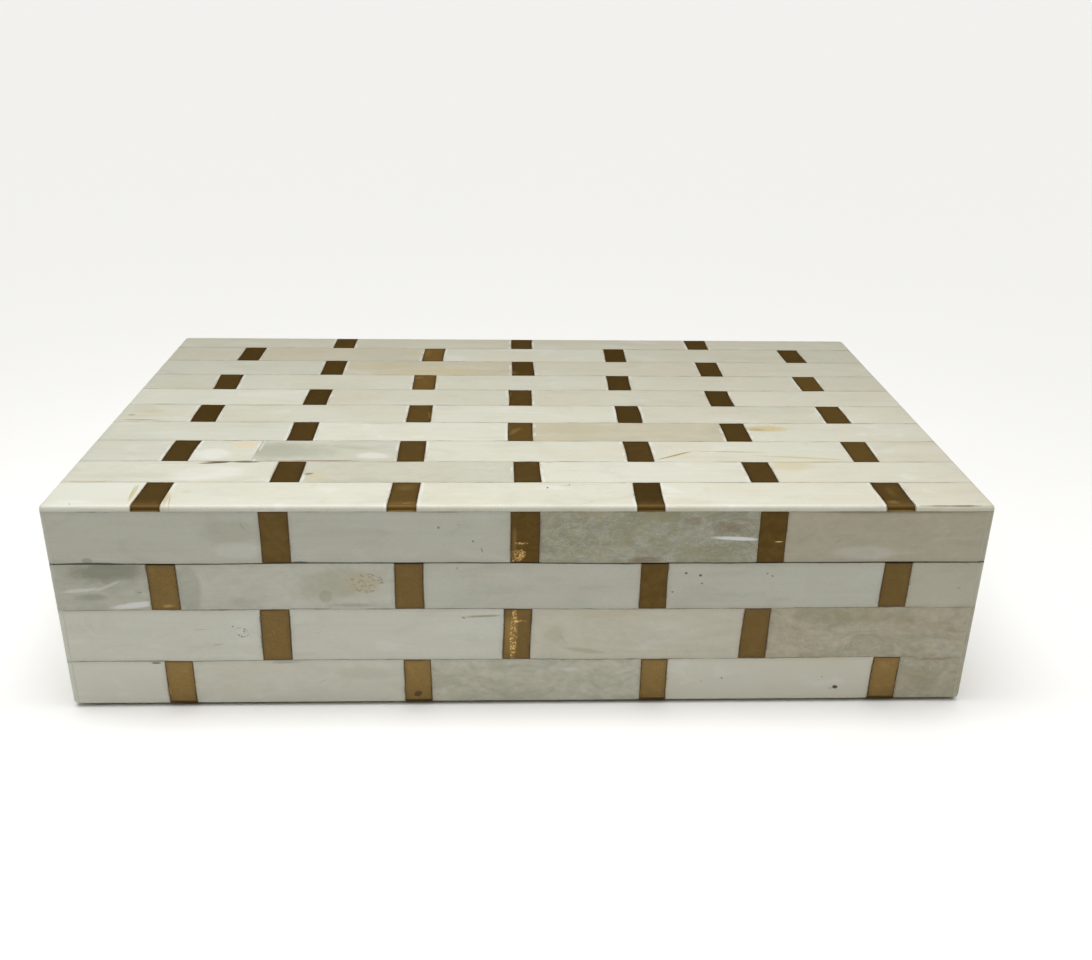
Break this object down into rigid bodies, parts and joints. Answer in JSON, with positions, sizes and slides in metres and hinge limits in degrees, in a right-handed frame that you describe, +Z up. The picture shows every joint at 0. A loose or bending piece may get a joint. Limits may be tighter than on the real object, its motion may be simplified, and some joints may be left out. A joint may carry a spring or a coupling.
{
  "type": "inlaid wooden box",
  "caption": "Low rectangular keepsake box with a hinged lid, its wooden carcass clad in bone strips and small brass tiles.",
  "frame": {"origin": "middle of the felt base, on the surface that the box stands on", "axes": "+Z up, +X along the box to the right, -Y towards the front, so the hinges are at +Y"},
  "size_m": [0.254, 0.151, 0.063],
  "materials": {
    "bone": "satin",
    "aged_brass": "matte",
    "wood": "satin",
    "hinge_brass": "satin",
    "screw_brass": "satin",
    "nail_steel": "satin",
    "felt": "matte"
  },
  "bodies": {
    "box": {"base_felt": "felt", "box_back_bone_row_1": "bone", "box_back_bone_row_2": "bone", "box_back_bone_row_3": "bone", "box_back_brass_tiles": "aged_brass", "box_back_wall": "wood", "box_floor": "wood", "box_front_bone_row_1": "bone", "box_front_bone_row_2": "bone", "box_front_bone_row_3": "bone", "box_front_brass_tiles": "aged_brass", "box_front_wall": "wood", "box_hinge_screws": "screw_brass", "box_left_bone_row_1": "bone", "box_left_bone_row_2": "bone", "box_left_bone_row_3": "bone", "box_left_brass_tiles": "aged_brass", "box_left_wall": "wood", "box_nails": "nail_steel", "box_right_bone_row_1": "bone", "box_right_bone_row_2": "bone", "box_right_bone_row_3": "bone", "box_right_brass_tiles": "aged_brass", "box_right_wall": "wood", "hinge_left_box_leaf": "hinge_brass", "hinge_left_pin": "hinge_brass", "hinge_right_box_leaf": "hinge_brass", "hinge_right_pin": "hinge_brass"},
    "lid": {"hinge_left_lid_leaf": "hinge_brass", "hinge_right_lid_leaf": "hinge_brass", "lid_back_bone_row": "bone", "lid_back_brass_tiles": "aged_brass", "lid_back_rail": "wood", "lid_front_bone_row": "bone", "lid_front_brass_tiles": "aged_brass", "lid_front_rail": "wood", "lid_hinge_screws": "screw_brass", "lid_left_bone_row": "bone", "lid_left_brass_tiles": "aged_brass", "lid_left_rail": "wood", "lid_nails": "nail_steel", "lid_panel": "wood", "lid_right_bone_row": "bone", "lid_right_brass_tiles": "aged_brass", "lid_right_rail": "wood", "lid_top_bone_row_01": "bone", "lid_top_bone_row_02": "bone", "lid_top_bone_row_03": "bone", "lid_top_bone_row_04": "bone", "lid_top_bone_row_05": "bone", "lid_top_bone_row_06": "bone", "lid_top_bone_row_07": "bone", "lid_top_bone_row_08": "bone", "lid_top_bone_row_09": "bone", "lid_top_bone_row_10": "bone", "lid_top_brass_tiles": "aged_brass"}
  },
  "joints": [
    {"name": "lid_hinge", "type": "hinge", "parent": "box", "child": "lid", "pos_m": [0, 0.0733, 0.0459], "axis": [-1, 0, 0], "range_deg": [0, 100]}
  ]
}
